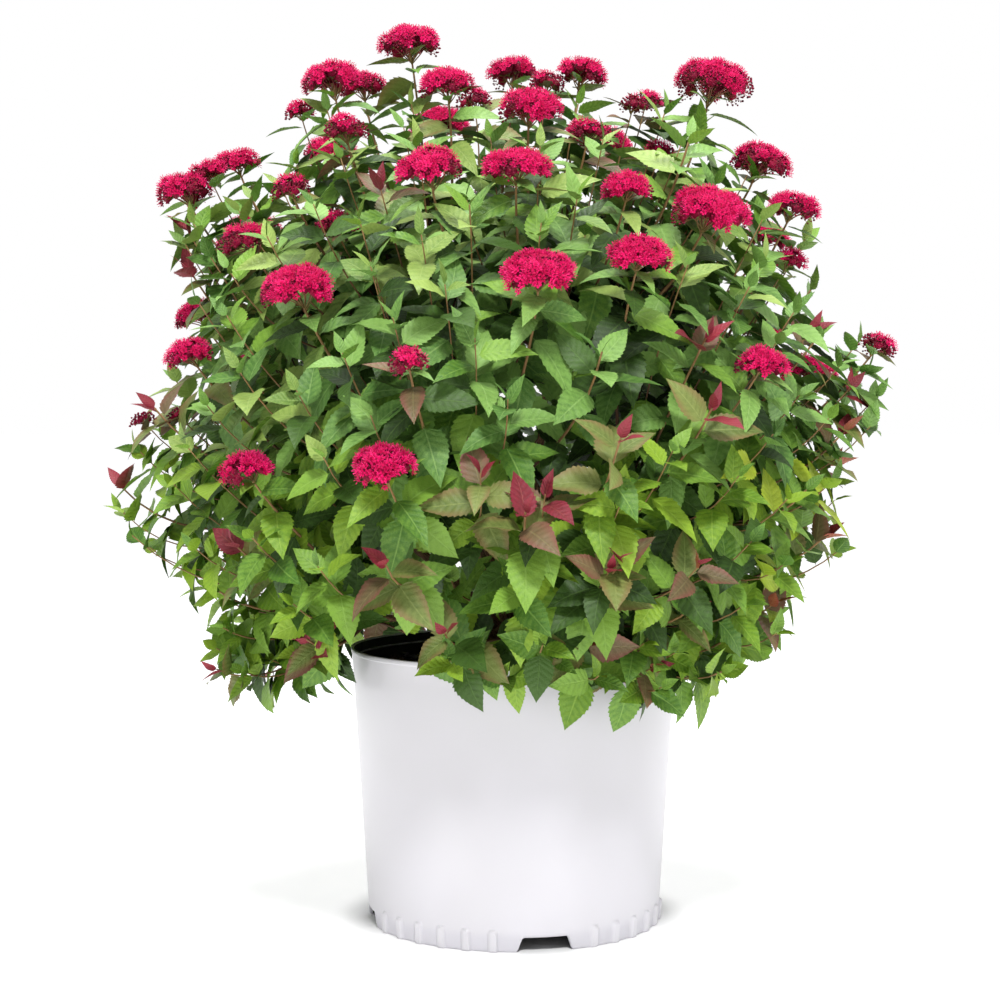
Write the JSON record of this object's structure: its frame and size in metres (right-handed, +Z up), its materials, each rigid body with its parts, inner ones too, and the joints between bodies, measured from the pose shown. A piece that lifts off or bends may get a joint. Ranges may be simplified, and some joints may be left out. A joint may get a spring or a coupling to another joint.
{
  "type": "potted flowering shrub",
  "caption": "Rounded spirea shrub in a round nursery pot: a short woody root crown, boughs, masses of leafy twigs and flat-domed flower heads.",
  "frame": {"origin": "centre of the pot's underside, where its floor dish meets the ground", "axes": "+Z up along the pot's axis, -Y towards the viewer of the picture, +X to the viewer's right"},
  "size_m": [0.6626, 0.6657, 0.7652],
  "materials": {
    "pot_plastic": "smooth white outside, black inside",
    "potting_soil": "moist composted bark",
    "bark": "thin brown bark with fine ridges",
    "foliage": "matt green leaves, bronze and red young leaves, crimson flowers"
  },
  "bodies": {
    "root": {"pot": "pot_plastic", "soil": "potting_soil", "root_crown": "bark", "bough_skirt_1": "bark", "bough_skirt_2": "bark", "bough_skirt_3": "bark", "bough_skirt_4": "bark", "bough_skirt_5": "bark", "bough_middle_1": "bark", "bough_middle_2": "bark", "bough_middle_3": "bark", "bough_middle_4": "bark", "bough_middle_5": "bark", "bough_top_1": "bark", "bough_top_2": "bark", "bough_top_3": "bark", "bough_top_4": "bark", "foliage_skirt_1": "foliage", "foliage_skirt_2": "foliage", "foliage_skirt_3": "foliage", "foliage_skirt_4": "foliage", "foliage_skirt_5": "foliage", "foliage_middle_1": "foliage", "foliage_middle_2": "foliage", "foliage_middle_3": "foliage", "foliage_middle_4": "foliage", "foliage_middle_5": "foliage", "foliage_top_1": "foliage", "foliage_top_2": "foliage", "foliage_top_3": "foliage", "foliage_top_4": "foliage"}
  },
  "joints": []
}
